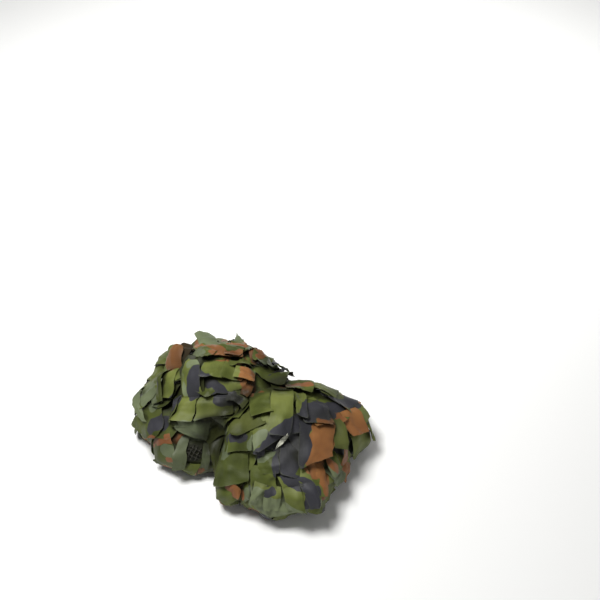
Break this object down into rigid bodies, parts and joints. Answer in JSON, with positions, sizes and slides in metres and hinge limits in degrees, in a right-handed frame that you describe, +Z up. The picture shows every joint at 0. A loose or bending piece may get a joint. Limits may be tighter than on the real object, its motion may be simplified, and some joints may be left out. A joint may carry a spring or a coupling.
{
  "type": "camouflage net bundle",
  "caption": "Leaf-cut camouflage net loosely gathered into a two-heaped bundle, with its netting backing showing in an opening near the front.",
  "frame": {"origin": "on the surface the bundle lies on, under the middle of its outline", "axes": "+X along the bundle towards the lower heap's end, +Y towards its back, +Z up"},
  "size_m": [0.3579, 0.3236, 0.133],
  "materials": {
    "net_bundle": "satin",
    "backing_netting": "matte"
  },
  "bodies": {
    "root": {"net_bundle": "net_bundle", "backing_netting": "backing_netting"}
  },
  "joints": []
}
